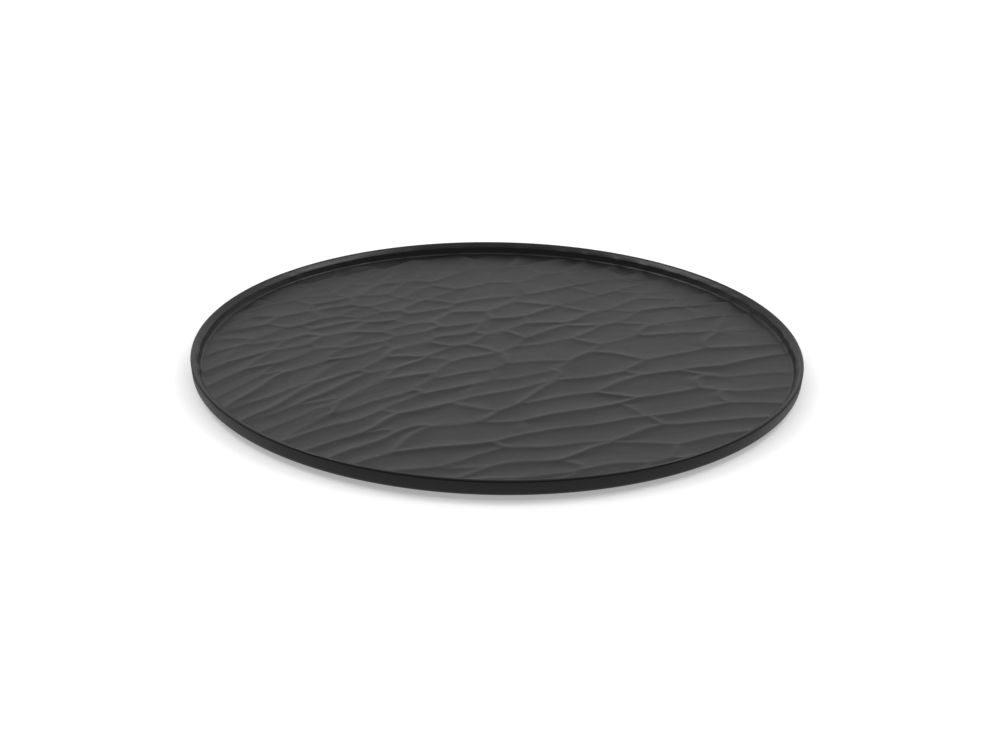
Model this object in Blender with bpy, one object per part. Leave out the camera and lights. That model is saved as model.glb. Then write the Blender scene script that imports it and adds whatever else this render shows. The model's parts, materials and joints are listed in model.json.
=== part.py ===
"""Round serving tray: one moulded body with a shallow well, and six non-slip pads set into its underside.

Units are metres, +Z is up, and the origin is on the table, under the middle of the tray.
The moulding is one turned profile. Six bosses are joined to its underside, each with a round pocket.
"""

import math

import bmesh
import bpy

# Tray body, across and up
TRAY_RADIUS = 0.215  # widest point of the rim
RIM_HEIGHT = 0.0115  # underside of the body to the crest of the rim
FLOOR_THICKNESS = 0.004  # well floor, top face to underside
CREST_RADIUS = 0.0014  # rounded outer edge of the rim's top face, the highest point of the tray
RIM_WIDTH = 0.0054  # widest point of the rim to the upper end of the well's wall
RIM_TOP_FALL = math.radians(41)  # fall of the rim's top face towards the well
RIM_INNER_RADIUS = 0.001  # rounded edge between the rim's top face and the well's wall
INNER_WALL_DRAFT = math.radians(20)  # lean of the well's wall away from upright
WELL_FILLET = 0.0015  # hollow corner between the well's wall and its floor
OUTER_WALL_DRAFT = math.radians(6)  # the outer band narrows downward by this lean
LOWER_EDGE_RADIUS = 0.003  # rounded edge between the outer band and the underside

# Foot ring and bosses, below the body's underside
FOOT_INSET = 0.0405  # widest point of the rim to the middle of the foot ring
FOOT_RING_WIDTH = 0.005  # across its lower face
FOOT_RING_DRAFT = math.radians(12)  # both sides of the ring
BOSS_HEIGHT = 0.0028  # underside to a boss's lower face
BOSS_STEP = 0.0003  # a boss's lower face below the foot ring's
BOSS_WALL = 0.0027  # material round a pocket
BOSS_ROOT = 0.001  # how far a boss's blank runs up into the floor

# Non-slip pads
PAD_COUNT = 6
PAD_RADIUS = 0.007
PAD_PROUD = 0.0007  # a pad's lower face below its boss
PAD_EDGE_BEVEL = 0.0004  # lower edge of a pad
POCKET_DEPTH = 0.0017
FIT_GAP = 0.0003  # clearance between a pad and its pocket, at the side and above

# Facets
BODY_SEGMENTS = 96
PAD_SEGMENTS = 32
ARC_STEP = math.radians(18)  # largest turn between two points of a rounded profile
MERGE_DISTANCE = 0.00001

# Heights above the table and radii that follow from these
BOSS_FACE_Z = PAD_PROUD
UNDERSIDE_Z = BOSS_FACE_Z + BOSS_HEIGHT
FLOOR_Z = UNDERSIDE_Z + FLOOR_THICKNESS
CREST_Z = UNDERSIDE_Z + RIM_HEIGHT
RING_FACE_Z = BOSS_FACE_Z + BOSS_STEP
FOOT_CIRCLE_RADIUS = TRAY_RADIUS - FOOT_INSET
POCKET_RADIUS = PAD_RADIUS + FIT_GAP
BOSS_RADIUS = POCKET_RADIUS + BOSS_WALL
PAD_HEIGHT = PAD_PROUD + POCKET_DEPTH - FIT_GAP


def remove_scene_objects():
    """Empties the scene."""
    for item in list(bpy.data.objects):
        bpy.data.objects.remove(item, do_unlink=True)


def make_material(name, color, roughness, specular):
    """A Principled material for a moulded, non-metallic part."""
    material = bpy.data.materials.new(name)
    material.use_nodes = True
    shader = material.node_tree.nodes["Principled BSDF"]
    shader.inputs["Base Color"].default_value = (*color, 1.0)
    shader.inputs["Roughness"].default_value = roughness
    shader.inputs["Metallic"].default_value = 0.0
    shader.inputs["Specular IOR Level"].default_value = specular
    return material


def link_object(name, mesh, material=None):
    """Puts a mesh in the scene under that name."""
    item = bpy.data.objects.new(name, mesh)
    bpy.context.scene.collection.objects.link(item)
    if material:
        mesh.materials.append(material)
    return item


def arc(center, radius, start, end):
    """Points of a round stretch of a profile, both ends included."""
    steps = max(2, math.ceil(abs(end - start) / ARC_STEP - 1e-6))
    angles = [start + (end - start) * i / steps for i in range(steps + 1)]
    return [(center[0] + radius * math.cos(a), center[1] + radius * math.sin(a)) for a in angles]


def body_profile():
    """(radius, height) points from the middle of the well floor, over the rim, to the middle underneath."""
    quarter = math.pi / 2

    # Rim: its top face leaves the rounded crest and falls inward to a smaller rounding above the well's wall.
    crest = (TRAY_RADIUS - CREST_RADIUS, CREST_Z - CREST_RADIUS)
    top_normal = quarter + RIM_TOP_FALL
    top_start = (crest[0] + CREST_RADIUS * math.cos(top_normal), crest[1] + CREST_RADIUS * math.sin(top_normal))
    inner_r = TRAY_RADIUS - RIM_WIDTH + RIM_INNER_RADIUS * math.cos(INNER_WALL_DRAFT)
    top_run = top_start[0] - RIM_INNER_RADIUS * math.cos(top_normal) - inner_r
    inner_z = top_start[1] - RIM_INNER_RADIUS * math.sin(top_normal) - top_run * math.tan(RIM_TOP_FALL)
    wall_top = (
        inner_r - RIM_INNER_RADIUS * math.cos(INNER_WALL_DRAFT),
        inner_z + RIM_INNER_RADIUS * math.sin(INNER_WALL_DRAFT),
    )

    # Well fillet: tangent to the floor and to the wall, whose foot lies straight down its lean.
    wall_foot_z = FLOOR_Z + WELL_FILLET * (1 - math.sin(INNER_WALL_DRAFT))
    wall_foot_r = wall_top[0] - (wall_top[1] - wall_foot_z) * math.tan(INNER_WALL_DRAFT)
    fillet = (wall_foot_r - WELL_FILLET * math.cos(INNER_WALL_DRAFT), FLOOR_Z + WELL_FILLET)

    # Outer band: leaves the crest at its draft and runs down to the rounded lower edge.
    band_top = (
        crest[0] + CREST_RADIUS * math.cos(OUTER_WALL_DRAFT),
        crest[1] - CREST_RADIUS * math.sin(OUTER_WALL_DRAFT),
    )
    band_foot_z = UNDERSIDE_Z + LOWER_EDGE_RADIUS * (1 - math.sin(OUTER_WALL_DRAFT))
    band_foot_r = band_top[0] - (band_top[1] - band_foot_z) * math.tan(OUTER_WALL_DRAFT)
    edge = (band_foot_r - LOWER_EDGE_RADIUS * math.cos(OUTER_WALL_DRAFT), UNDERSIDE_Z + LOWER_EDGE_RADIUS)

    # Foot ring: a low trapezoid with drafted sides.
    ring_half = FOOT_RING_WIDTH / 2
    ring_flare = (UNDERSIDE_Z - RING_FACE_Z) * math.tan(FOOT_RING_DRAFT)
    ring = [
        (FOOT_CIRCLE_RADIUS + ring_half + ring_flare, UNDERSIDE_Z),
        (FOOT_CIRCLE_RADIUS + ring_half, RING_FACE_Z),
        (FOOT_CIRCLE_RADIUS - ring_half, RING_FACE_Z),
        (FOOT_CIRCLE_RADIUS - ring_half - ring_flare, UNDERSIDE_Z),
    ]

    return [
        (0.0, FLOOR_Z),
        *arc(fillet, WELL_FILLET, -quarter, -INNER_WALL_DRAFT),
        *arc((inner_r, inner_z), RIM_INNER_RADIUS, math.pi - INNER_WALL_DRAFT, top_normal),
        *arc(crest, CREST_RADIUS, top_normal, quarter)[:-1],
        *arc(crest, CREST_RADIUS, quarter, 0.0),
        band_top,
        *arc(edge, LOWER_EDGE_RADIUS, -OUTER_WALL_DRAFT, -quarter),
        *ring,
        (0.0, UNDERSIDE_Z),
    ]


def foot_places():
    """(x, y, turn) of each boss, evenly spaced on the foot circle."""
    turns = [2 * math.pi * (i + 0.5) / PAD_COUNT for i in range(PAD_COUNT)]
    return [(FOOT_CIRCLE_RADIUS * math.cos(t), FOOT_CIRCLE_RADIUS * math.sin(t), t) for t in turns]


def make_disc_set(name, radius, bottom, top):
    """One upright disc at each boss, in a single mesh that a Boolean reads."""
    shape = bmesh.new()
    for x, y, _ in foot_places():
        made = bmesh.ops.create_cone(
            shape, cap_ends=True, segments=PAD_SEGMENTS, radius1=radius, radius2=radius, depth=top - bottom
        )
        bmesh.ops.translate(shape, verts=made["verts"], vec=(x, y, (top + bottom) / 2))
    mesh = bpy.data.meshes.new(name)
    shape.to_mesh(mesh)
    shape.free()
    guide = link_object(name, mesh)
    guide.hide_render = True
    guide.display_type = "WIRE"
    return guide


def add_boolean(item, name, operation, other):
    """Joins other to item or cuts it away."""
    cut = item.modifiers.new(name, "BOOLEAN")
    cut.operation = operation
    cut.solver = "EXACT"
    cut.object = other


def make_tray_body(material):
    """The moulding: its profile turned about Z, with the bosses joined on and their pockets cut."""
    points = body_profile()
    mesh = bpy.data.meshes.new("tray_body")
    edges = [(i, i + 1) for i in range(len(points) - 1)]
    mesh.from_pydata([(r, 0.0, z) for r, z in points], edges, [])
    body = link_object("tray_body", mesh, material)

    turn = body.modifiers.new("Turned profile", "SCREW")
    turn.axis = "Z"
    turn.angle = 2 * math.pi
    turn.steps = BODY_SEGMENTS
    turn.render_steps = BODY_SEGMENTS
    turn.use_merge_vertices = True
    turn.merge_threshold = MERGE_DISTANCE
    turn.use_smooth_shade = True

    bosses = make_disc_set("boss_blanks", BOSS_RADIUS, BOSS_FACE_Z, UNDERSIDE_Z + BOSS_ROOT)
    add_boolean(body, "Bosses", "UNION", bosses)

    below = BOSS_FACE_Z - PAD_PROUD
    pockets = make_disc_set("pocket_cutters", POCKET_RADIUS, below, BOSS_FACE_Z + POCKET_DEPTH)
    add_boolean(body, "Pockets", "DIFFERENCE", pockets)
    return body


def make_pad_mesh(material):
    """A short disc with its lower face at the origin's height and its lower edge bevelled."""
    shape = bmesh.new()
    bmesh.ops.create_cone(
        shape, cap_ends=True, segments=PAD_SEGMENTS, radius1=PAD_RADIUS, radius2=PAD_RADIUS, depth=PAD_HEIGHT
    )
    bmesh.ops.translate(shape, verts=shape.verts, vec=(0, 0, PAD_HEIGHT / 2))
    lower_edge = [e for e in shape.edges if all(v.co.z < PAD_HEIGHT / 2 for v in e.verts)]
    bmesh.ops.bevel(shape, geom=lower_edge, offset=PAD_EDGE_BEVEL, segments=2, profile=0.5, affect="EDGES")
    mesh = bpy.data.meshes.new("foot_pad")
    shape.to_mesh(mesh)
    shape.free()
    mesh.materials.append(material)
    mesh.shade_smooth()
    mesh.set_sharp_from_angle(angle=math.radians(30))
    return mesh


def make_foot_pads(material):
    """Six pads that share one mesh, each in its pocket, on an empty at the middle of the foot circle."""
    circle = bpy.data.objects.new("foot_circle", None)
    bpy.context.scene.collection.objects.link(circle)
    mesh = make_pad_mesh(material)
    for number, (x, y, turn) in enumerate(foot_places(), start=1):
        pad = link_object(f"foot_pad_{number}", mesh)
        pad.parent = circle
        pad.location = (x, y, 0.0)
        pad.rotation_euler = (0.0, 0.0, turn)


remove_scene_objects()
melamine = make_material("Black melamine, satin moulded", (0.006, 0.0062, 0.0065), 0.38, 0.5)
pad_rubber = make_material("Black thermoplastic rubber", (0.018, 0.018, 0.019), 0.75, 0.4)
make_tray_body(melamine)
make_foot_pads(pad_rubber)
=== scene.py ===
"""Looks of the round moulded serving tray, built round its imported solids."""

import json

import bpy
import numpy as np
from mathutils import Matrix, Vector


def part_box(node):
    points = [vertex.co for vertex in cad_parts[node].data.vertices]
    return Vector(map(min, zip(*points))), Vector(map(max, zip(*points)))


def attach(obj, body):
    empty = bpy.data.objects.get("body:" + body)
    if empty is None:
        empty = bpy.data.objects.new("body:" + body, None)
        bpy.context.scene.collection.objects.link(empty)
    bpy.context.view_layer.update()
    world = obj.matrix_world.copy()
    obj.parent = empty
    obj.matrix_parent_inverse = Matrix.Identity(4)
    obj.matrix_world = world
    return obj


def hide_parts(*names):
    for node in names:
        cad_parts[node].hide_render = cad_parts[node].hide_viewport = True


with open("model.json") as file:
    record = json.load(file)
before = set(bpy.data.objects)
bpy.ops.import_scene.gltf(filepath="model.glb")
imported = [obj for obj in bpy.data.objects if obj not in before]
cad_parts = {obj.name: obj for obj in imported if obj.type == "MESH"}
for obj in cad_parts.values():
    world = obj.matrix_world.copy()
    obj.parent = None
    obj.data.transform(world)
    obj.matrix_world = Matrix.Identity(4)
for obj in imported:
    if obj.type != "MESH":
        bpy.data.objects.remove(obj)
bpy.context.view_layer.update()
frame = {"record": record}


# ---------------------------------------------------------------------------------------------------
# The moulding. The whole tray is one piece of melamine resin, pressed hot from powder between two finely
# blasted steel moulds: well floor with its relief, wall, rim and outer band on the upper side, foot ring
# and six bosses with pockets underneath.
# ---------------------------------------------------------------------------------------------------

tray_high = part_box("tray_body")[1]
mounts = {mount["name"]: mount for mount in frame["record"]["mounts"]}
RIM_RADIUS = tray_high.x
CREST_Z = tray_high.z
FLOOR_Z = mounts["serving_floor"]["pos_m"][2]
FOOT_CIRCLE = mounts["table_rest"]["pos_m"][1]

CREST_RADIUS = 0.0014
RIM_WIDTH = 0.0054
RIM_TOP_FALL = np.radians(41)
RIM_TOP_CROWN = 0.00012
RIM_INNER_RADIUS = 0.001
WELL_FILLET = 0.0015
WELL_DRAFT = np.radians(20)
BAND_DRAFT = np.radians(6)
UNDERSIDE_Z = 0.0035
LOWER_EDGE_RADIUS = 0.003
FOOT_RING_HALF = 0.0025
FOOT_RING_Z = 0.001
FOOT_RING_FLARE = 0.0005
FOOT_RING_SOFT = 0.0004
FLAT_MARGIN = 0.001

FLOOR_RINGS = 140
FILLET_POINTS = 7
INNER_EDGE_POINTS = 5
TOP_POINTS = 3
CREST_BACK_POINTS = 3
CREST_POINTS = 6
LOWER_EDGE_POINTS = 6


def spoke(a):
    """The unit vector (cos a, sin a), for one angle or a column of them."""
    return np.stack([np.cos(a), np.sin(a)], -1)


def arc(middle, radius, start, end, count):
    """Points on a circle: middle + radius * (cos a, sin a), with a going evenly from start to end."""
    return np.array(middle) + radius * spoke(np.linspace(start, end, count))


def tray_profile():
    """(radius, height) of the tray from the edge of the well floor, over the rim, to the underside.

    Each round stretch is an arc tangent to its neighbours: fillet, leaning wall, inner edge, top face
    falling inward with a slight crown, crest at the outer edge, outer band and lower edge. The foot ring
    is a low trapezoid under the floor with its corners taken off. A narrow margin beside each round or slope
    of the underside keeps the wide stretches between them shaded flat.
    """
    quarter = np.pi / 2
    crest = np.array([RIM_RADIUS - CREST_RADIUS, CREST_Z - CREST_RADIUS])
    top_normal = quarter + RIM_TOP_FALL
    top_start = crest + CREST_RADIUS * spoke(top_normal)
    inner_r = RIM_RADIUS - RIM_WIDTH + RIM_INNER_RADIUS * np.cos(WELL_DRAFT)
    top_run = top_start[0] - RIM_INNER_RADIUS * np.cos(top_normal) - inner_r
    inner_z = top_start[1] - RIM_INNER_RADIUS * np.sin(top_normal) - top_run * np.tan(RIM_TOP_FALL)
    inner = np.array([inner_r, inner_z])
    top_end = inner + RIM_INNER_RADIUS * spoke(top_normal)
    share = np.linspace(0, 1, TOP_POINTS + 2)[1:-1, None]
    crown = 4 * share * (1 - share) * RIM_TOP_CROWN * spoke(top_normal)
    top = top_end + share * (top_start - top_end) + crown

    wall_top = inner + RIM_INNER_RADIUS * spoke(np.pi - WELL_DRAFT)
    wall_foot_z = FLOOR_Z + WELL_FILLET * (1 - np.sin(WELL_DRAFT))
    wall_foot_r = wall_top[0] - (wall_top[1] - wall_foot_z) * np.tan(WELL_DRAFT)
    fillet = np.array([wall_foot_r - WELL_FILLET * np.cos(WELL_DRAFT), FLOOR_Z + WELL_FILLET])

    band_top = crest + CREST_RADIUS * spoke(-BAND_DRAFT)
    band_foot_z = UNDERSIDE_Z + LOWER_EDGE_RADIUS * (1 - np.sin(BAND_DRAFT))
    band_foot_r = band_top[0] - (band_top[1] - band_foot_z) * np.tan(BAND_DRAFT)
    edge = np.array([band_foot_r - LOWER_EDGE_RADIUS * np.cos(BAND_DRAFT), UNDERSIDE_Z + LOWER_EDGE_RADIUS])

    across = FOOT_RING_HALF + FOOT_RING_FLARE
    half_ring = np.array([
        [across + FOOT_RING_SOFT, UNDERSIDE_Z],
        [across, UNDERSIDE_Z - FOOT_RING_SOFT / 2],
        [FOOT_RING_HALF, FOOT_RING_Z + FOOT_RING_SOFT / 2],
        [FOOT_RING_HALF - FOOT_RING_SOFT, FOOT_RING_Z],
    ])
    ring = np.concatenate([half_ring, half_ring[::-1] * [-1, 1]]) + [FOOT_CIRCLE, 0]
    ring_reach = half_ring[0, 0] + FLAT_MARGIN
    return np.concatenate([
        arc(fillet, WELL_FILLET, -quarter, -WELL_DRAFT, FILLET_POINTS),
        arc(inner, RIM_INNER_RADIUS, np.pi - WELL_DRAFT, top_normal, INNER_EDGE_POINTS),
        top,
        arc(crest, CREST_RADIUS, top_normal, quarter, CREST_BACK_POINTS)[:-1],
        arc(crest, CREST_RADIUS, quarter, 0, CREST_POINTS),
        band_top[None],
        arc(edge, LOWER_EDGE_RADIUS, -BAND_DRAFT, -quarter, LOWER_EDGE_POINTS),
        [[edge[0] - FLAT_MARGIN, UNDERSIDE_Z], [FOOT_CIRCLE + ring_reach, UNDERSIDE_Z]],
        ring,
        [[FOOT_CIRCLE - ring_reach, UNDERSIDE_Z]],
    ])


# The relief on the well floor is like creased hide: smooth raised ridges round long flat cells. The cells
# lie along the ridges' run, which turns across the tray, and so do their length and width. Each row gives
# one stretch of the floor: its middle (mm), the run (degrees), cell length and width, ridge height (mm).
RELIEF_STRETCHES = np.array([
    (-160, -50, 54, 95, 15, 1.12),
    (-110, -110, 47, 105, 16, 1.15),
    (-185, 15, 45, 48, 16, 0.93),
    (-140, 65, 25, 38, 18, 0.88),
    (-100, 120, 38, 32, 17, 0.74),
    (-15, 145, 40, 40, 24, 0.67),
    (-35, 60, 32, 40, 20, 0.99),
    (75, 125, 30, 50, 18, 0.88),
    (160, 60, 18, 58, 20, 0.88),
    (30, 30, 40, 56, 29, 0.96),
    (90, 5, 30, 66, 30, 0.99),
    (-30, -35, 38, 54, 21, 0.99),
    (150, -30, 12, 80, 22, 1.06),
    (110, -100, 20, 68, 22, 1.06),
    (0, -90, 28, 92, 26, 1.12),
    (0, -170, 22, 80, 17, 1.06),
], float)
STRETCH_REACH = 28.0
RELIEF_SEED = 7
RELIEF_RADIUS = 224.0
GROUND_STEP = 3.0
CELL_SPREAD = 0.05
CELL_TURN = np.radians(3)
SETTLE_ROUNDS = 4

# How far the ridges bend sideways, and the shortest and longest of the waves that bend them, all in mm.
LONG_BEND, LONG_WAVES = 1.1, (40, 110)
SHORT_BEND, SHORT_WAVES = 0.15, (10, 24)
BEND_WAVES = 14

# A ridge's foot, skirt and rounded tip are in mm. Its strength is the weakest plus a share of the spread.
NEAR_CELLS = 5
RIDGE_FOOT = 3.2
RIDGE_SKIRT = 8.0
RIDGE_TIP = 1.0
SKIRT_SHARE = 0.3
PAIR_BLEND = 0.3
WEAKEST_RIDGE = 0.45
RIDGE_SPREAD = 0.7
RIDGE_JOIN = 5
PAIR_MIX = 12.9898
PAIR_STRETCH = 43758.5453
LEAST_RATE = 1e-4
POINTS_AT_ONCE = 20000


def local_pattern(x, y):
    """Run, cell length, cell width and ridge height at points in mm.

    Each is a blend of the stretches' values with bell-shaped weights, by angle, by ratio or as it is.
    """
    far = (x[:, None] - RELIEF_STRETCHES[:, 0]) ** 2 + (y[:, None] - RELIEF_STRETCHES[:, 1]) ** 2
    weight = np.exp((far.min(1, keepdims=True) - far) / (2 * STRETCH_REACH**2))
    weight /= weight.sum(1, keepdims=True)
    twice = np.radians(RELIEF_STRETCHES[:, 2]) * 2
    run = 0.5 * np.arctan2(weight @ np.sin(twice), weight @ np.cos(twice))
    length = np.exp(weight @ np.log(RELIEF_STRETCHES[:, 3]))
    width = np.exp(weight @ np.log(RELIEF_STRETCHES[:, 4]))
    return run, length, width, weight @ RELIEF_STRETCHES[:, 5]


def in_cells(x, y, cells):
    """Each point in each cell's own measure: along and across its run, as shares of half its size."""
    dx, dy = x[:, None] - cells[:, 0], y[:, None] - cells[:, 1]
    c, s = np.cos(cells[:, 2]), np.sin(cells[:, 2])
    return (dx * c + dy * s) / (cells[:, 3] / 2), (dy * c - dx * s) / (cells[:, 4] / 2)


def scatter_cells(rng):
    """Middles and shapes of the cells: drawn by chance, as dense as the local size asks, then each moved a
    few times to the middle of the ground nearest to it, so that none are crowded."""
    line = np.arange(-RELIEF_RADIUS, RELIEF_RADIUS + GROUND_STEP, GROUND_STEP)
    gx, gy = [a.ravel() for a in np.meshgrid(line, line)]
    inside = gx**2 + gy**2 < RELIEF_RADIUS**2
    gx, gy = gx[inside], gy[inside]
    _, length, width, _ = local_pattern(gx, gy)
    crowd = 1 / (length * width)
    count = int(round(crowd.sum() * GROUND_STEP**2))
    start = rng.choice(gx.size, count, replace=False, p=crowd / crowd.sum())
    size = np.exp(rng.normal(0, CELL_SPREAD, count))
    slim = np.exp(rng.normal(0, CELL_SPREAD, count))
    turn = rng.normal(0, CELL_TURN, count)
    cells = np.zeros((count, 5))
    cells[:, 0], cells[:, 1] = gx[start], gy[start]
    for _ in range(SETTLE_ROUNDS):
        run, length, width, _ = local_pattern(cells[:, 0], cells[:, 1])
        cells[:, 2], cells[:, 3], cells[:, 4] = run + turn, length * size * slim, width * size / slim
        along, across = in_cells(gx, gy, cells)
        owner = np.argmin(along**2 + across**2, axis=1)
        held = np.maximum(np.bincount(owner, minlength=count), 1)
        cells[:, 0] = np.bincount(owner, gx, count) / held
        cells[:, 1] = np.bincount(owner, gy, count) / held
    return cells


def waves(x, y, rng, short, long):
    """Smooth unevenness of about -1 to 1: the sum of plane sine waves of chance heading and length."""
    heading = rng.uniform(0, np.pi, BEND_WAVES)
    length = np.exp(rng.uniform(np.log(short), np.log(long), BEND_WAVES))
    phase = rng.uniform(0, 2 * np.pi, BEND_WAVES)
    along = x[:, None] * np.cos(heading) + y[:, None] * np.sin(heading)
    return np.sin(2 * np.pi * along / length + phase).sum(1) / np.sqrt(BEND_WAVES / 2)


def relief_height(x, y):
    """Height of the relief in mm at points in mm.

    A point's distance to a ridge is how much nearer its own cell is than another, divided by how fast that
    changes. The ridge rises as a rounded exponential of that distance, with a wide low skirt, and ridges
    that meet join by a root of the sum of their powers. Each pair of neighbouring cells gets a strength
    from a mixing of its two numbers, and a point takes the mean over the pairs close to it.
    """
    rng = np.random.default_rng(RELIEF_SEED)
    cells = scatter_cells(rng)
    px = x + LONG_BEND * waves(x, y, rng, *LONG_WAVES) + SHORT_BEND * waves(x, y, rng, *SHORT_WAVES)
    py = y + LONG_BEND * waves(x, y, rng, *LONG_WAVES) + SHORT_BEND * waves(x, y, rng, *SHORT_WAVES)
    one, other = np.triu_indices(NEAR_CELLS, 1)
    c, s = np.cos(cells[:, 2]), np.sin(cells[:, 2])
    heights = []
    for part in np.array_split(np.arange(x.size), 1 + x.size // POINTS_AT_ONCE):
        along, across = in_cells(px[part], py[part], cells)
        far = along**2 + across**2
        who = np.argpartition(far, NEAR_CELLS, axis=1)[:, :NEAR_CELLS]
        who = np.take_along_axis(who, np.argsort(np.take_along_axis(far, who, 1), axis=1), 1)
        far = np.take_along_axis(far, who, 1)
        along = np.take_along_axis(along, who, 1) / (cells[who, 3] / 2)
        across = np.take_along_axis(across, who, 1) / (cells[who, 4] / 2)
        gx, gy = along * c[who] - across * s[who], along * s[who] + across * c[who]
        rate = 2 * np.hypot(gx[:, 1:] - gx[:, :1], gy[:, 1:] - gy[:, :1])
        edge = (far[:, 1:] - far[:, :1]) / np.maximum(rate, LEAST_RATE)
        mixed = who[:, one] * who[:, other] * PAIR_MIX + who[:, one] + who[:, other]
        chance = np.modf(np.abs(np.sin(mixed)) * PAIR_STRETCH)[0]
        close = np.exp((2 * far[:, :1] - far[:, one] - far[:, other]) / PAIR_BLEND)
        strength = ((WEAKEST_RIDGE + RIDGE_SPREAD * chance) * close).sum(1) / close.sum(1)
        away = np.sqrt(edge**2 + RIDGE_TIP**2) - RIDGE_TIP
        ridge = (1 - SKIRT_SHARE) * np.exp(-away / RIDGE_FOOT) + SKIRT_SHARE * np.exp(-away / RIDGE_SKIRT)
        heights.append(strength * (ridge**RIDGE_JOIN).sum(1) ** (1 / RIDGE_JOIN))
    return np.concatenate(heights) * local_pattern(x, y)[3]


def ringed_disc(rings, radius):
    """A flat disc of even triangles: a middle point, and 6 * k points on ring k at radius * k / rings.

    Between two rings, every point of the inner one reaches two of the outer one, and every pair of the
    inner one shares one of the outer one.
    """
    ring = np.repeat(np.arange(1, rings + 1), 6 * np.arange(1, rings + 1))
    turn = 2 * np.pi * (np.arange(ring.size) - 3 * ring * (ring - 1)) / (6 * ring)
    x = np.append(0.0, radius * ring / rings * np.cos(turn))
    y = np.append(0.0, radius * ring / rings * np.sin(turn))

    def number(k, j):
        return np.where(k == 0, 0, 1 + 3 * k * (k - 1) + j % np.maximum(6 * k, 1))

    k, sector, i = [a.ravel() for a in np.meshgrid(*map(np.arange, (rings, 6, rings)), indexing="ij")]
    k, sector, i = k[i <= k], sector[i <= k], i[i <= k]
    inner, outer = sector * k + i, sector * (k + 1) + i
    spread = np.stack([number(k, inner), number(k + 1, outer), number(k + 1, outer + 1)], 1)
    closing = np.stack([number(k, inner), number(k + 1, outer + 1), number(k, inner + 1)], 1)
    return x, y, np.concatenate([spread, closing[i < k]])


def ring_strips(first, rows, count):
    """Triangles between neighbouring rows of count points each, numbered from first, row after row."""
    row, j = [a.ravel() for a in np.meshgrid(np.arange(rows - 1), np.arange(count), indexing="ij")]
    a, b = first + row * count + j, first + row * count + (j + 1) % count
    return np.concatenate([np.stack([a, a + count, b + count], 1), np.stack([a, b + count, b], 1)])


SHARP_TURN = np.radians(40)


def new_piece(name, points, faces):
    """A smooth-shaded mesh object of points and triangles, sharp where it turns by more than SHARP_TURN."""
    mesh = bpy.data.meshes.new(name)
    mesh.from_pydata(points, [], faces)
    mesh.validate()
    mesh.shade_smooth()
    mesh.set_sharp_from_angle(angle=SHARP_TURN)
    piece = bpy.data.objects.new(name, mesh)
    bpy.context.scene.collection.objects.link(piece)
    return piece


EDGE_SWAY = 0.8


def build_tray():
    """The moulding as one closed mesh: the relief floor, then the profile's rows, then the underside.

    The relief fades out up the fillet. Where a ridge meets the wall it pushes it inward by its own height,
    so the wall and the rim's inner edge sway a little, most of all at the wall.
    """
    profile = tray_profile()
    count = 6 * FLOOR_RINGS
    x, y, faces = ringed_disc(FLOOR_RINGS, profile[0, 0])
    floor = relief_height(x * 1000, y * 1000) / 1000
    middle_height = floor.mean()
    at_edge = floor[-count:] - middle_height
    at_edge = (np.roll(at_edge, 1) + 2 * at_edge + np.roll(at_edge, -1)) / 4

    number = np.arange(1, len(profile))
    fillet_end = FILLET_POINTS - 1
    top_first = FILLET_POINTS + INNER_EDGE_POINTS
    top_last = top_first + TOP_POINTS - 1
    rise = np.interp(number, [0, fillet_end], [1, 0])
    sway = np.interp(number, [0, fillet_end, top_first, top_last], [0, 1, EDGE_SWAY, 0])
    r = profile[1:, :1] - sway[:, None] * at_edge
    z = profile[1:, 1:] + rise[:, None] * at_edge
    turn = 2 * np.pi * np.arange(count) / count
    rows = np.stack([r * np.cos(turn), r * np.sin(turn), z], -1).reshape(-1, 3)

    points = np.concatenate([
        np.stack([x, y, FLOOR_Z + floor - middle_height], 1), rows, [[0, 0, UNDERSIDE_Z]],
    ])
    last = len(points) - 1
    j = np.arange(count)
    cap = np.stack([last - count + j, np.full(count, last), last - count + (j + 1) % count], 1)
    edge_first = 1 + 3 * FLOOR_RINGS * (FLOOR_RINGS - 1)
    faces = np.concatenate([faces, ring_strips(edge_first, len(profile), count), cap])
    return new_piece("moulded_tray", points, faces)


PAD_COUNT = 6
PAD_PLACES = [FOOT_CIRCLE * spoke(2 * np.pi * (n + 0.5) / PAD_COUNT) for n in range(PAD_COUNT)]
BOSS_TURN = 72
BOSS_SHARP_TURN = np.radians(30)

# (radius, height) rows in mm. The blank flares where it joins the underside, runs on up into the floor and
# is rounded at its lower edge. The cutter has the pocket's chamfered mouth and runs out past the boss's face.
BOSS_BLANK = np.array([
    (0, 4.5), (10.7, 4.5), (10.7, 3.5), (10.3, 3.2), (10.1, 2.8), (10.0, 2.3),
    (10.0, 1.1), (9.9, 0.85), (9.6, 0.7), (0, 0.7),
]) / 1000
POCKET_CUTTER = np.array([(0, 2.4), (7.3, 2.4), (7.3, 0.95), (7.55, 0.7), (7.55, -0.5), (0, -0.5)]) / 1000


def turned_solids(name, profile, places):
    """A closed turned solid at each place, in one mesh.

    The profile's (radius, height) rows run from the top's middle outward and down to the bottom's middle,
    and each row between the two middles is turned to a ring.
    """
    count = BOSS_TURN
    turn = 2 * np.pi * np.arange(count) / count
    r, z = profile[1:-1, :1], profile[1:-1, 1:]
    rings = np.stack([r * np.cos(turn), r * np.sin(turn), z + 0 * turn], -1).reshape(-1, 3)
    solid = np.concatenate([rings, [(0, 0, profile[0, 1]), (0, 0, profile[-1, 1])]])
    top, bottom = len(rings), len(rings) + 1
    j = np.arange(count)
    after = (j + 1) % count
    lowest = top - count
    faces = np.concatenate([
        ring_strips(0, len(profile) - 2, count),
        np.stack([np.full(count, top), j, after], 1),
        np.stack([lowest + j, np.full(count, bottom), lowest + after], 1),
    ])
    points = np.concatenate([solid + [px, py, 0] for px, py in places])
    faces = np.concatenate([faces + len(solid) * n for n in range(len(places))])
    return new_piece(name, points, faces)


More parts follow.
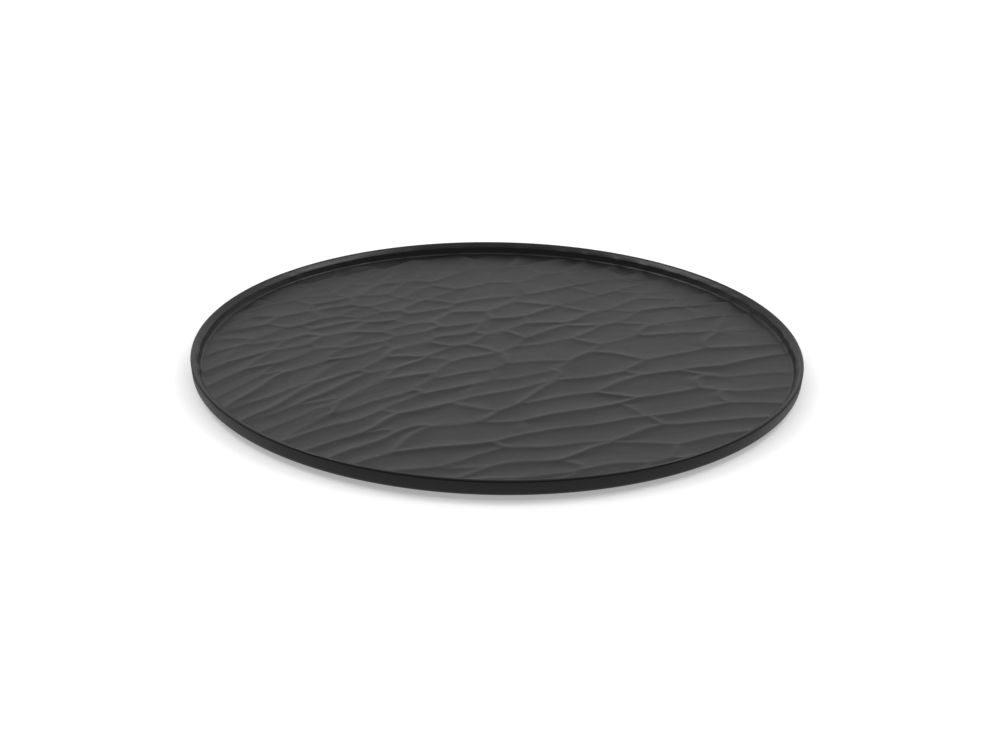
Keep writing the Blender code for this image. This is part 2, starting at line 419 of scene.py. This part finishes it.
def mould_bosses(body):
    """Joins six flared bosses to the underside and sinks a pocket with a chamfered mouth into each."""
    blanks = turned_solids("boss_blanks", BOSS_BLANK, PAD_PLACES)
    cutters = turned_solids("pocket_cutters", POCKET_CUTTER, PAD_PLACES)
    for tool, operation in ((blanks, "UNION"), (cutters, "DIFFERENCE")):
        step = body.modifiers.new(tool.name, "BOOLEAN")
        step.operation = operation
        step.solver = "EXACT"
        step.object = tool
    shaped = bpy.data.meshes.new_from_object(body.evaluated_get(bpy.context.evaluated_depsgraph_get()))
    shaped.set_sharp_from_angle(angle=BOSS_SHARP_TURN)
    body.modifiers.clear()
    body.data = shaped
    body.data.name = body.name
    for tool in (blanks, cutters):
        bpy.data.objects.remove(tool)


tray = build_tray()
mould_bosses(tray)


def linear(hex_colour):
    """An sRGB hex value such as "#8A8A8A" as a linear colour with alpha 1."""
    values = [int(hex_colour[i : i + 2], 16) / 255 for i in (1, 3, 5)]
    return [v / 12.92 if v <= 0.04045 else ((v + 0.055) / 1.055) ** 2.4 for v in values] + [1.0]


def add_node(tree, kind, settings=(), inputs=(), links=()):
    """Adds a node, sets its own settings and input values, and links inputs from other nodes' outputs."""
    node = tree.nodes.new(kind)
    for key, value in dict(settings).items():
        setattr(node, key, value)
    for key, value in dict(inputs).items():
        node.inputs[key].default_value = value
    for key, output in dict(links).items():
        tree.links.new(output, node.inputs[key])
    return node


MELAMINE_IOR = 1.5
CLOUD_SIZE = 0.045
PIT_SIZE = 0.0011
PEARL_SIZE = 0.0034
GLOSS_RANGE = (0.34, 0.40)
FLECK = 0.012
RIDGE_RUB = 0.02
RIDGE_RUB_REACH = (0.0001, 0.0005)
RIM_RUB = 0.03
RIM_RUB_REACH = 0.0016
GRAIN_STRENGTH = 0.3
GRAIN_DEPTH = 0.00003
MELAMINE_TONES = ("#0A0B0C", "#0D0E0E")


def satin_black_melamine():
    """Melamine resin filled with carbon black, pressed in a finely blasted mould.

    It gives the eye a satin sheen that is never mirror-like, with a faint pearl grain. The blasting left
    0.4 mm pits, drawn 1.1 mm wide so that they show, and slow clouds of gloss where the powder flowed.
    Ridge tops and the rim's top are rubbed a little smoother by plates and by stacking.
    """
    material = bpy.data.materials.new("satin_black_melamine")
    material.use_nodes = True
    tree = material.node_tree
    tree.nodes.clear()
    place = add_node(tree, "ShaderNodeTexCoord").outputs["Object"]
    height = add_node(tree, "ShaderNodeSeparateXYZ", {}, {}, {"Vector": place}).outputs["Z"]
    cloud = add_node(tree, "ShaderNodeTexNoise", {}, {"Scale": 1 / CLOUD_SIZE, "Detail": 3.0},
                     {"Vector": place})
    pits = add_node(tree, "ShaderNodeTexNoise", {}, {"Scale": 1 / PIT_SIZE, "Detail": 2.0, "Roughness": 0.6},
                    {"Vector": place})
    pearl = add_node(tree, "ShaderNodeTexNoise", {}, {"Scale": 1 / PEARL_SIZE, "Detail": 1.0},
                     {"Vector": place})

    gloss = add_node(tree, "ShaderNodeMapRange", {},
                     {"From Min": 0.3, "From Max": 0.7, "To Min": GLOSS_RANGE[0], "To Max": GLOSS_RANGE[1]},
                     {"Value": cloud.outputs["Fac"]})
    ridge_rub = add_node(tree, "ShaderNodeMapRange", {"interpolation_type": "SMOOTHSTEP"},
                         {"From Min": FLOOR_Z + RIDGE_RUB_REACH[0], "From Max": FLOOR_Z + RIDGE_RUB_REACH[1],
                          "To Min": 0.0, "To Max": RIDGE_RUB},
                         {"Value": height})
    rim_rub = add_node(tree, "ShaderNodeMapRange", {"interpolation_type": "SMOOTHSTEP"},
                       {"From Min": CREST_Z - RIM_RUB_REACH, "From Max": CREST_Z,
                        "To Min": 0.0, "To Max": RIM_RUB},
                       {"Value": height})
    rub = add_node(tree, "ShaderNodeMath", {"operation": "ADD"}, {},
                   {0: ridge_rub.outputs["Result"], 1: rim_rub.outputs["Result"]})
    fleck = add_node(tree, "ShaderNodeMapRange", {},
                     {"From Min": 0.35, "From Max": 0.65, "To Min": -FLECK, "To Max": FLECK},
                     {"Value": pearl.outputs["Fac"]})
    uneven = add_node(tree, "ShaderNodeMath", {"operation": "ADD"}, {},
                      {0: gloss.outputs["Result"], 1: fleck.outputs["Result"]})
    rough = add_node(tree, "ShaderNodeMath", {"operation": "SUBTRACT"}, {},
                     {0: uneven.outputs["Value"], 1: rub.outputs["Value"]})

    grain = add_node(tree, "ShaderNodeMath", {"operation": "ADD"}, {},
                     {0: pits.outputs["Fac"], 1: pearl.outputs["Fac"]})
    bump = add_node(tree, "ShaderNodeBump", {}, {"Strength": GRAIN_STRENGTH, "Distance": GRAIN_DEPTH},
                    {"Height": grain.outputs["Value"]})
    tone = add_node(tree, "ShaderNodeMix", {"data_type": "RGBA"},
                    {"A": linear(MELAMINE_TONES[0]), "B": linear(MELAMINE_TONES[1])},
                    {"Factor": cloud.outputs["Fac"]})
    shader = add_node(tree, "ShaderNodeBsdfPrincipled", {}, {"IOR": MELAMINE_IOR, "Metallic": 0.0},
                      {"Base Color": tone.outputs["Result"], "Roughness": rough.outputs["Value"],
                       "Normal": bump.outputs["Normal"]})
    add_node(tree, "ShaderNodeOutputMaterial", {}, {}, {"Surface": shader.outputs["BSDF"]})
    return material


tray.data.materials.clear()
tray.data.materials.append(satin_black_melamine())
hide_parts("tray_body")
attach(tray, "root")


# ---------------------------------------------------------------------------------------------------
# Non-slip pads. Six moulded discs of black thermoplastic rubber, each glued into its boss's pocket and
# standing a little proud of it. Three fine grooves round the lower face let water out from under it.
# ---------------------------------------------------------------------------------------------------

PAD_RADIUS = 0.007
PAD_TOP_Z = 0.0021
PAD_EDGE = 0.0004
GROOVE_RADII = (0.0054, 0.0040, 0.0026)
GROOVE_HALF = 0.0003
GROOVE_DEPTH = 0.00018
GROOVE_FLOOR_SHARE = 0.4
PAD_EDGE_POINTS = 5


def pad_profile():
    """(radius, height) of a pad from the top's middle outward and down, then inward over the grooves.

    The top edge is a small chamfer, the lower edge a quarter arc, and each groove a shallow trapezoid.
    """
    floor = GROOVE_FLOOR_SHARE
    grooves = [
        (g + GROOVE_HALF * share, depth)
        for g in GROOVE_RADII
        for share, depth in ((1, 0), (floor, GROOVE_DEPTH), (-floor, GROOVE_DEPTH), (-1, 0))
    ]
    return np.concatenate([
        [(0, PAD_TOP_Z), (PAD_RADIUS - PAD_EDGE / 2, PAD_TOP_Z), (PAD_RADIUS, PAD_TOP_Z - PAD_EDGE / 2)],
        arc((PAD_RADIUS - PAD_EDGE, PAD_EDGE), PAD_EDGE, 0, -np.pi / 2, PAD_EDGE_POINTS),
        grooves,
        [(0, 0)],
    ])


RUBBER_IOR = 1.5
STIPPLE_SIZE = 0.00035
SMEAR_SIZE = 0.003
DUST_REACH = 0.00015
RUBBER_ROUGHNESS = (0.68, 0.82)
STIPPLE_STRENGTH = 0.5
STIPPLE_DEPTH = 0.00005
RUBBER_TONE, DUST_TONE = "#1A1A1B", "#35342F"


def black_pad_rubber():
    """Styrene thermoplastic rubber, moulded against an etched face.

    It gives the eye a soft grey-black with no clear highlight: a 0.35 mm stipple, and a dusty bloom on the
    face that rubs on the table.
    """
    material = bpy.data.materials.new("black_pad_rubber")
    material.use_nodes = True
    tree = material.node_tree
    tree.nodes.clear()
    place = add_node(tree, "ShaderNodeTexCoord").outputs["Object"]
    height = add_node(tree, "ShaderNodeSeparateXYZ", {}, {}, {"Vector": place}).outputs["Z"]
    stipple = add_node(tree, "ShaderNodeTexVoronoi", {}, {"Scale": 1 / STIPPLE_SIZE}, {"Vector": place})
    smear = add_node(tree, "ShaderNodeTexNoise", {}, {"Scale": 1 / SMEAR_SIZE, "Detail": 4.0},
                     {"Vector": place})
    low = add_node(tree, "ShaderNodeMapRange", {},
                   {"From Min": 0.0, "From Max": DUST_REACH, "To Min": 1.0, "To Max": 0.0},
                   {"Value": height})
    dusty = add_node(tree, "ShaderNodeMath", {"operation": "MULTIPLY"}, {},
                     {0: low.outputs["Result"], 1: smear.outputs["Fac"]})
    tone = add_node(tree, "ShaderNodeMix", {"data_type": "RGBA"},
                    {"A": linear(RUBBER_TONE), "B": linear(DUST_TONE)},
                    {"Factor": dusty.outputs["Value"]})
    rough = add_node(tree, "ShaderNodeMapRange", {},
                     {"From Min": 0.3, "From Max": 0.7,
                      "To Min": RUBBER_ROUGHNESS[0], "To Max": RUBBER_ROUGHNESS[1]},
                     {"Value": smear.outputs["Fac"]})
    bump = add_node(tree, "ShaderNodeBump", {}, {"Strength": STIPPLE_STRENGTH, "Distance": STIPPLE_DEPTH},
                    {"Height": stipple.outputs["Distance"]})
    shader = add_node(tree, "ShaderNodeBsdfPrincipled", {}, {"IOR": RUBBER_IOR, "Metallic": 0.0},
                      {"Base Color": tone.outputs["Result"], "Roughness": rough.outputs["Result"],
                       "Normal": bump.outputs["Normal"]})
    add_node(tree, "ShaderNodeOutputMaterial", {}, {}, {"Surface": shader.outputs["BSDF"]})
    return material


rubber = black_pad_rubber()
for number, place in enumerate(PAD_PLACES, start=1):
    pad = turned_solids(f"non_slip_pad_{number}", pad_profile(), [place])
    pad.data.materials.append(rubber)
    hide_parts(f"foot_pad_{number}")
    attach(pad, "root")


# ---------------------------------------------------------------------------------------------------
# Floor, light and camera. A white table glows a little, as an opal sheet lit from below does. A large
# diffuser hangs behind and over it, and the room in front of it, where the camera stands, is dim.
# ---------------------------------------------------------------------------------------------------

FLOOR_SIDE = 12.0
TABLE_GLOW = 0.36

table_mesh = bpy.data.meshes.new("table_top")
half = FLOOR_SIDE / 2
table_corners = [(-half, -half, 0), (half, -half, 0), (half, half, 0), (-half, half, 0)]
table_mesh.from_pydata(table_corners, [], [(0, 1, 2, 3)])
table = bpy.data.objects.new("table_top", table_mesh)
bpy.context.scene.collection.objects.link(table)
# The light from under the table is cross-polarised, so the tray mirrors the dome's lower part in its place.
table.visible_glossy = False

table_material = bpy.data.materials.new("matt_white_board")
table_material.use_nodes = True
board = table_material.node_tree.nodes["Principled BSDF"]
board.inputs["Base Color"].default_value = linear("#E9E9E9")
board.inputs["Roughness"].default_value = 0.9
board.inputs["Specular IOR Level"].default_value = 0.0
board.inputs["Emission Color"].default_value = linear("#FFFFFF")
board.inputs["Emission Strength"].default_value = TABLE_GLOW
table_mesh.materials.append(table_material)

# The diffuser is brightest low down and fades overhead. In front its place is taken by the dim room. It
# ends in a dark skyline at the table's height, and well below that is the dimmed table that the tray mirrors.
DIFFUSER_LOW = 0.68
DIFFUSER_TOP = 0.50
DIFFUSER_FADE = (0.25, 0.9)
ROOM_SHARE = 0.30
SKYLINE_SHARE = 0.15
ROOM_FADE = (-0.15, 0.5)
SKYLINE_FADE = (-0.04, 0.12)
MIRRORED_TABLE = 0.55
TABLE_FADE = (-0.5, -0.3)
LEAN_BACK = 0.75
LEAN_UP = 0.66

world = bpy.data.worlds.new("studio_dome")
bpy.context.scene.world = world
world.use_nodes = True
dome = world.node_tree
dome.nodes.clear()
toward = add_node(dome, "ShaderNodeTexCoord")
split = add_node(dome, "ShaderNodeSeparateXYZ", {}, {}, {"Vector": toward.outputs["Generated"]})
fall = add_node(dome, "ShaderNodeMapRange", {"interpolation_type": "SMOOTHSTEP"},
                {"From Min": DIFFUSER_FADE[0], "From Max": DIFFUSER_FADE[1],
                 "To Min": DIFFUSER_LOW, "To Max": DIFFUSER_TOP},
                {"Value": split.outputs["Z"]})
lean = add_node(dome, "ShaderNodeVectorMath", {"operation": "DOT_PRODUCT"}, {1: (0, LEAN_BACK, LEAN_UP)},
                {0: toward.outputs["Generated"]})
share = add_node(dome, "ShaderNodeMapRange", {"interpolation_type": "SMOOTHSTEP"},
                 {"From Min": ROOM_FADE[0], "From Max": ROOM_FADE[1], "To Min": ROOM_SHARE, "To Max": 1.0},
                 {"Value": lean.outputs["Value"]})
skyline = add_node(dome, "ShaderNodeMapRange", {"interpolation_type": "SMOOTHSTEP"},
                   {"From Min": SKYLINE_FADE[0], "From Max": SKYLINE_FADE[1],
                    "To Min": SKYLINE_SHARE, "To Max": 1.0},
                   {"Value": split.outputs["Z"]})
sky = add_node(dome, "ShaderNodeMath", {"operation": "MULTIPLY"}, {},
               {0: fall.outputs["Result"], 1: share.outputs["Result"]})
above = add_node(dome, "ShaderNodeMath", {"operation": "MULTIPLY"}, {},
                 {0: sky.outputs["Value"], 1: skyline.outputs["Result"]})
below = add_node(dome, "ShaderNodeMapRange", {"interpolation_type": "SMOOTHSTEP"},
                 {"From Min": TABLE_FADE[0], "From Max": TABLE_FADE[1],
                  "To Min": MIRRORED_TABLE, "To Max": 0.0},
                 {"Value": split.outputs["Z"]})
level = add_node(dome, "ShaderNodeMath", {"operation": "MAXIMUM"}, {},
                 {0: above.outputs["Value"], 1: below.outputs["Result"]})
glow = add_node(dome, "ShaderNodeBackground", {}, {"Color": (1, 1, 1, 1)},
                {"Strength": level.outputs["Value"]})
add_node(dome, "ShaderNodeOutputWorld", {}, {}, {"Surface": glow.outputs["Background"]})


def add_softbox(name, place, size, watts):
    """A square area light at place that faces the tray. It lights the scene but isn't seen itself."""
    light = bpy.data.lights.new(name, "AREA")
    light.shape = "SQUARE"
    light.size = size
    light.energy = watts
    lamp = bpy.data.objects.new(name, light)
    lamp.location = place
    lamp.rotation_euler = (-Vector(place)).to_track_quat("-Z", "Y").to_euler()
    lamp.visible_camera = False
    bpy.context.scene.collection.objects.link(lamp)
    return lamp


# Two softboxes above the sides, a little behind the middle, light the rim's top face. A wide overhead one
# is cross-polarised, as over any glossy black ware: it whitens the table and the tray doesn't mirror it.
SIDE_X, SIDE_Y, SIDE_Z = 1.25, 0.45, 1.95
SIDE_SIZE = 0.8
SIDE_WATTS = 9
OVERHEAD_PLACE = (0, -0.3, 2.6)
OVERHEAD_SIZE = 2.4
OVERHEAD_WATTS = 16
add_softbox("left_softbox", (-SIDE_X, SIDE_Y, SIDE_Z), SIDE_SIZE, SIDE_WATTS)
add_softbox("right_softbox", (SIDE_X, SIDE_Y, SIDE_Z), SIDE_SIZE, SIDE_WATTS)
overhead = add_softbox("overhead_softbox", OVERHEAD_PLACE, OVERHEAD_SIZE, OVERHEAD_WATTS)
overhead.visible_glossy = False

CAMERA_ELEVATION = np.radians(23.42)
CAMERA_ROLL = np.radians(1.01)
CAMERA_DISTANCE = 1.75
CAMERA_LENS = 89.35
AIM_RIGHT = 0.00181
AIM_DOWN = 0.01923

back = Vector((0, -np.cos(CAMERA_ELEVATION), np.sin(CAMERA_ELEVATION)))
camera_data = bpy.data.cameras.new("camera")
camera_data.lens = CAMERA_LENS
camera_data.sensor_width = 36
camera_data.clip_start, camera_data.clip_end = 0.05, 50
camera = bpy.data.objects.new("camera", camera_data)
turn = (-back).to_track_quat("-Z", "Y").to_matrix() @ Matrix.Rotation(CAMERA_ROLL, 3, "Z")
right, up = turn.col[0], turn.col[1]
aim = Vector((0, 0, CREST_Z)) + right * AIM_RIGHT - up * AIM_DOWN
camera.matrix_world = Matrix.Translation(aim + back * CAMERA_DISTANCE) @ turn.to_4x4()
bpy.context.scene.collection.objects.link(camera)
bpy.context.scene.camera = camera
bpy.context.scene.view_settings.view_transform = "Standard"
